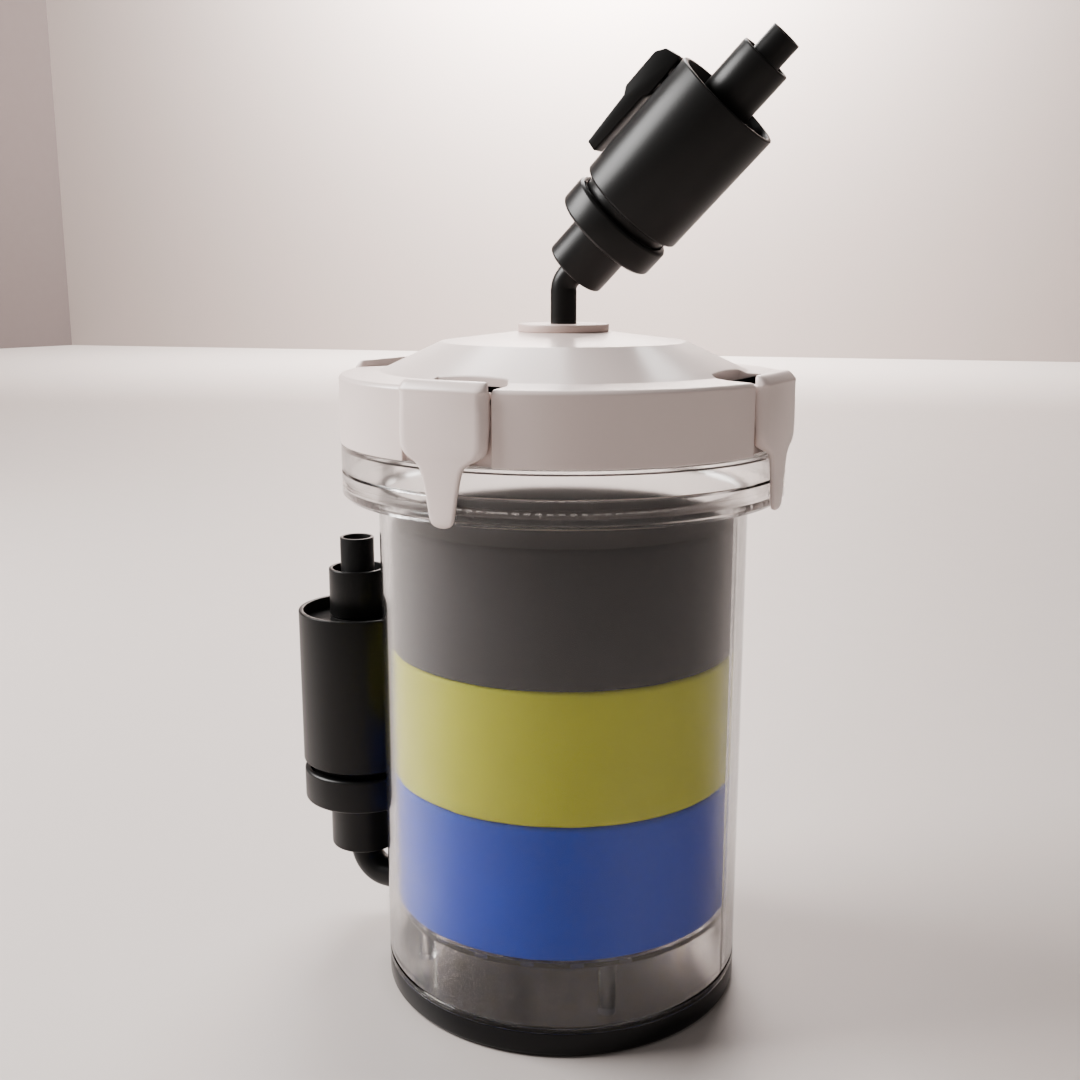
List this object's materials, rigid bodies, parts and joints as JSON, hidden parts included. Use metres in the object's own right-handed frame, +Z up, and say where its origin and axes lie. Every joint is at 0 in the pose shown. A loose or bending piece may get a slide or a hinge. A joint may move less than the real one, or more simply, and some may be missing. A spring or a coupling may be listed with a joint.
{
  "type": "canister filter",
  "caption": "Aquarium canister filter: clear barrel of coloured foam pads under a clipped white lid, with a tilted in-line pump on the lid and an upright inlet connector at the side.",
  "frame": {"origin": "centre of the foot's underside, on the surface it stands on", "axes": "+Z up along the barrel; -Y faces the front clip; the inlet connector is on the -X side and the pump leans towards +X"},
  "size_m": [0.1872, 0.1528, 0.3197],
  "materials": {
    "foot": "satin black moulded rubber",
    "clear_barrel": "clear moulded plastic with a very slight haze",
    "clear_support": "clear moulded plastic",
    "blue_foam": "open-cell filter foam",
    "yellow_foam": "open-cell filter foam",
    "black_foam": "open-cell filter foam",
    "white_moulding": "satin warm-white moulding",
    "boss_moulding": "satin pale pinkish moulding",
    "seal_rubber": "matt rubber",
    "pin_steel": "bright stainless steel",
    "black_moulding": "satin black moulding",
    "inner_moulding": "dark inner moulding",
    "core_steel": "stacked laminations",
    "coil_copper": "enamelled copper winding",
    "shaft_ceramic": "ground ceramic",
    "seat_white": "white low-friction plastic",
    "magnet": "ferrite magnet"
  },
  "bodies": {
    "canister": {"base_foot": "foot", "barrel": "clear_barrel", "collar": "clear_barrel", "pad_support": "clear_support", "blue_sponge": "blue_foam", "yellow_sponge": "yellow_foam", "black_sponge": "black_foam", "lid": "white_moulding", "lid_seal": "seal_rubber", "clip_pins": "pin_steel", "outlet_bush": "boss_moulding", "outlet_locknut": "boss_moulding", "outlet_seal": "seal_rubber", "inlet_grommet": "seal_rubber"},
    "front_clip": {"clip_front": "white_moulding"},
    "right_clip": {"clip_right": "white_moulding"},
    "back_clip": {"clip_back": "white_moulding"},
    "left_clip": {"clip_left": "white_moulding"},
    "pump": {"outlet_elbow": "black_moulding", "impeller_cover": "black_moulding", "cover_gasket": "seal_rubber", "pump_shell": "black_moulding", "motor_can": "inner_moulding", "motor_can_cap": "inner_moulding", "stator_core": "core_steel", "stator_coils": "coil_copper", "motor_shaft": "shaft_ceramic", "shaft_bush_front": "seal_rubber", "shaft_bush_rear": "seal_rubber", "cable_gland": "black_moulding", "outlet_cover": "black_moulding", "ball_seats": "seat_white", "outlet_hose_tail": "black_moulding"},
    "rotor": {"impeller": "seat_white", "rotor_magnet": "magnet"},
    "tap": {"tap_lever": "black_moulding", "tap_stem": "pin_steel", "tap_ball": "pin_steel", "lever_screw": "pin_steel"},
    "pump_ring": {"pump_lock_ring": "black_moulding"},
    "outlet_nut": {"outlet_hose_nut": "black_moulding"},
    "inlet": {"inlet_elbow": "black_moulding", "elbow_circlip": "pin_steel", "inlet_cover": "black_moulding", "inlet_gasket": "seal_rubber", "inlet_shell": "black_moulding", "strainer_basket": "inner_moulding", "valve_seat": "inner_moulding", "valve_guide": "inner_moulding", "inlet_top_cover": "black_moulding", "inlet_hose_tail": "black_moulding", "poppet_spring": "pin_steel"},
    "poppet": {"check_poppet": "seat_white", "poppet_seal": "seal_rubber"},
    "inlet_ring": {"inlet_lock_ring": "black_moulding"},
    "inlet_nut": {"inlet_hose_nut": "black_moulding"}
  },
  "joints": [
    {"name": "front_clip_hinge", "type": "hinge", "parent": "canister", "child": "front_clip", "pos_m": [0, -0.0705, 0.2115], "axis": [-1, 0, 0], "range_deg": [0, 105]},
    {"name": "right_clip_hinge", "type": "hinge", "parent": "canister", "child": "right_clip", "pos_m": [0.0705, 0, 0.2115], "axis": [0, -1, 0], "range_deg": [0, 105]},
    {"name": "back_clip_hinge", "type": "hinge", "parent": "canister", "child": "back_clip", "pos_m": [0, 0.0705, 0.2115], "axis": [1, 0, 0], "range_deg": [0, 105]},
    {"name": "left_clip_hinge", "type": "hinge", "parent": "canister", "child": "left_clip", "pos_m": [-0.0705, 0, 0.2115], "axis": [0, 1, 0], "range_deg": [0, 105]},
    {"name": "pump_swivel", "type": "hinge", "parent": "canister", "child": "pump", "pos_m": [0, 0, 0.235], "axis": [0, 0, 1], "continuous": true},
    {"name": "impeller_spin", "type": "hinge", "parent": "pump", "child": "rotor", "pos_m": [0.02822, 0.00197, 0.27268], "axis": [0.7054, 0.0493, 0.7071], "continuous": true},
    {"name": "tap_turn", "type": "hinge", "parent": "pump", "child": "tap", "pos_m": [0.04754, 0.00332, 0.29206], "axis": [-0.7054, -0.0493, 0.7071], "range_deg": [0, 90]},
    {"name": "pump_ring_twist", "type": "hinge", "parent": "pump", "child": "pump_ring", "pos_m": [0.01763, 0.00123, 0.26208], "axis": [0.7054, 0.0493, 0.7071], "range_deg": [-50, 0]},
    {"name": "outlet_nut_turn", "type": "hinge", "parent": "pump", "child": "outlet_nut", "pos_m": [0.05996, 0.00419, 0.3045], "axis": [0.7054, 0.0493, 0.7071], "range_deg": [0, 360]},
    {"name": "inlet_swivel", "type": "hinge", "parent": "canister", "child": "inlet", "pos_m": [-0.064, 0, 0.0155], "axis": [1, 0, 0], "range_deg": [-75, 75]},
    {"name": "inlet_ring_twist", "type": "hinge", "parent": "inlet", "child": "inlet_ring", "pos_m": [-0.088, 0, 0.053], "axis": [0, 0, 1], "range_deg": [-50, 0]},
    {"name": "inlet_nut_turn", "type": "hinge", "parent": "inlet", "child": "inlet_nut", "pos_m": [-0.088, 0, 0.13], "axis": [0, 0, 1], "range_deg": [0, 360]},
    {"name": "check_valve_slide", "type": "slide", "parent": "inlet", "child": "poppet", "axis": [0, 0, -1], "range_m": [0, 0.005], "stiffness_N_per_m": 60, "springref_m": -0.004, "deforming": ["poppet_spring"]}
  ]
}
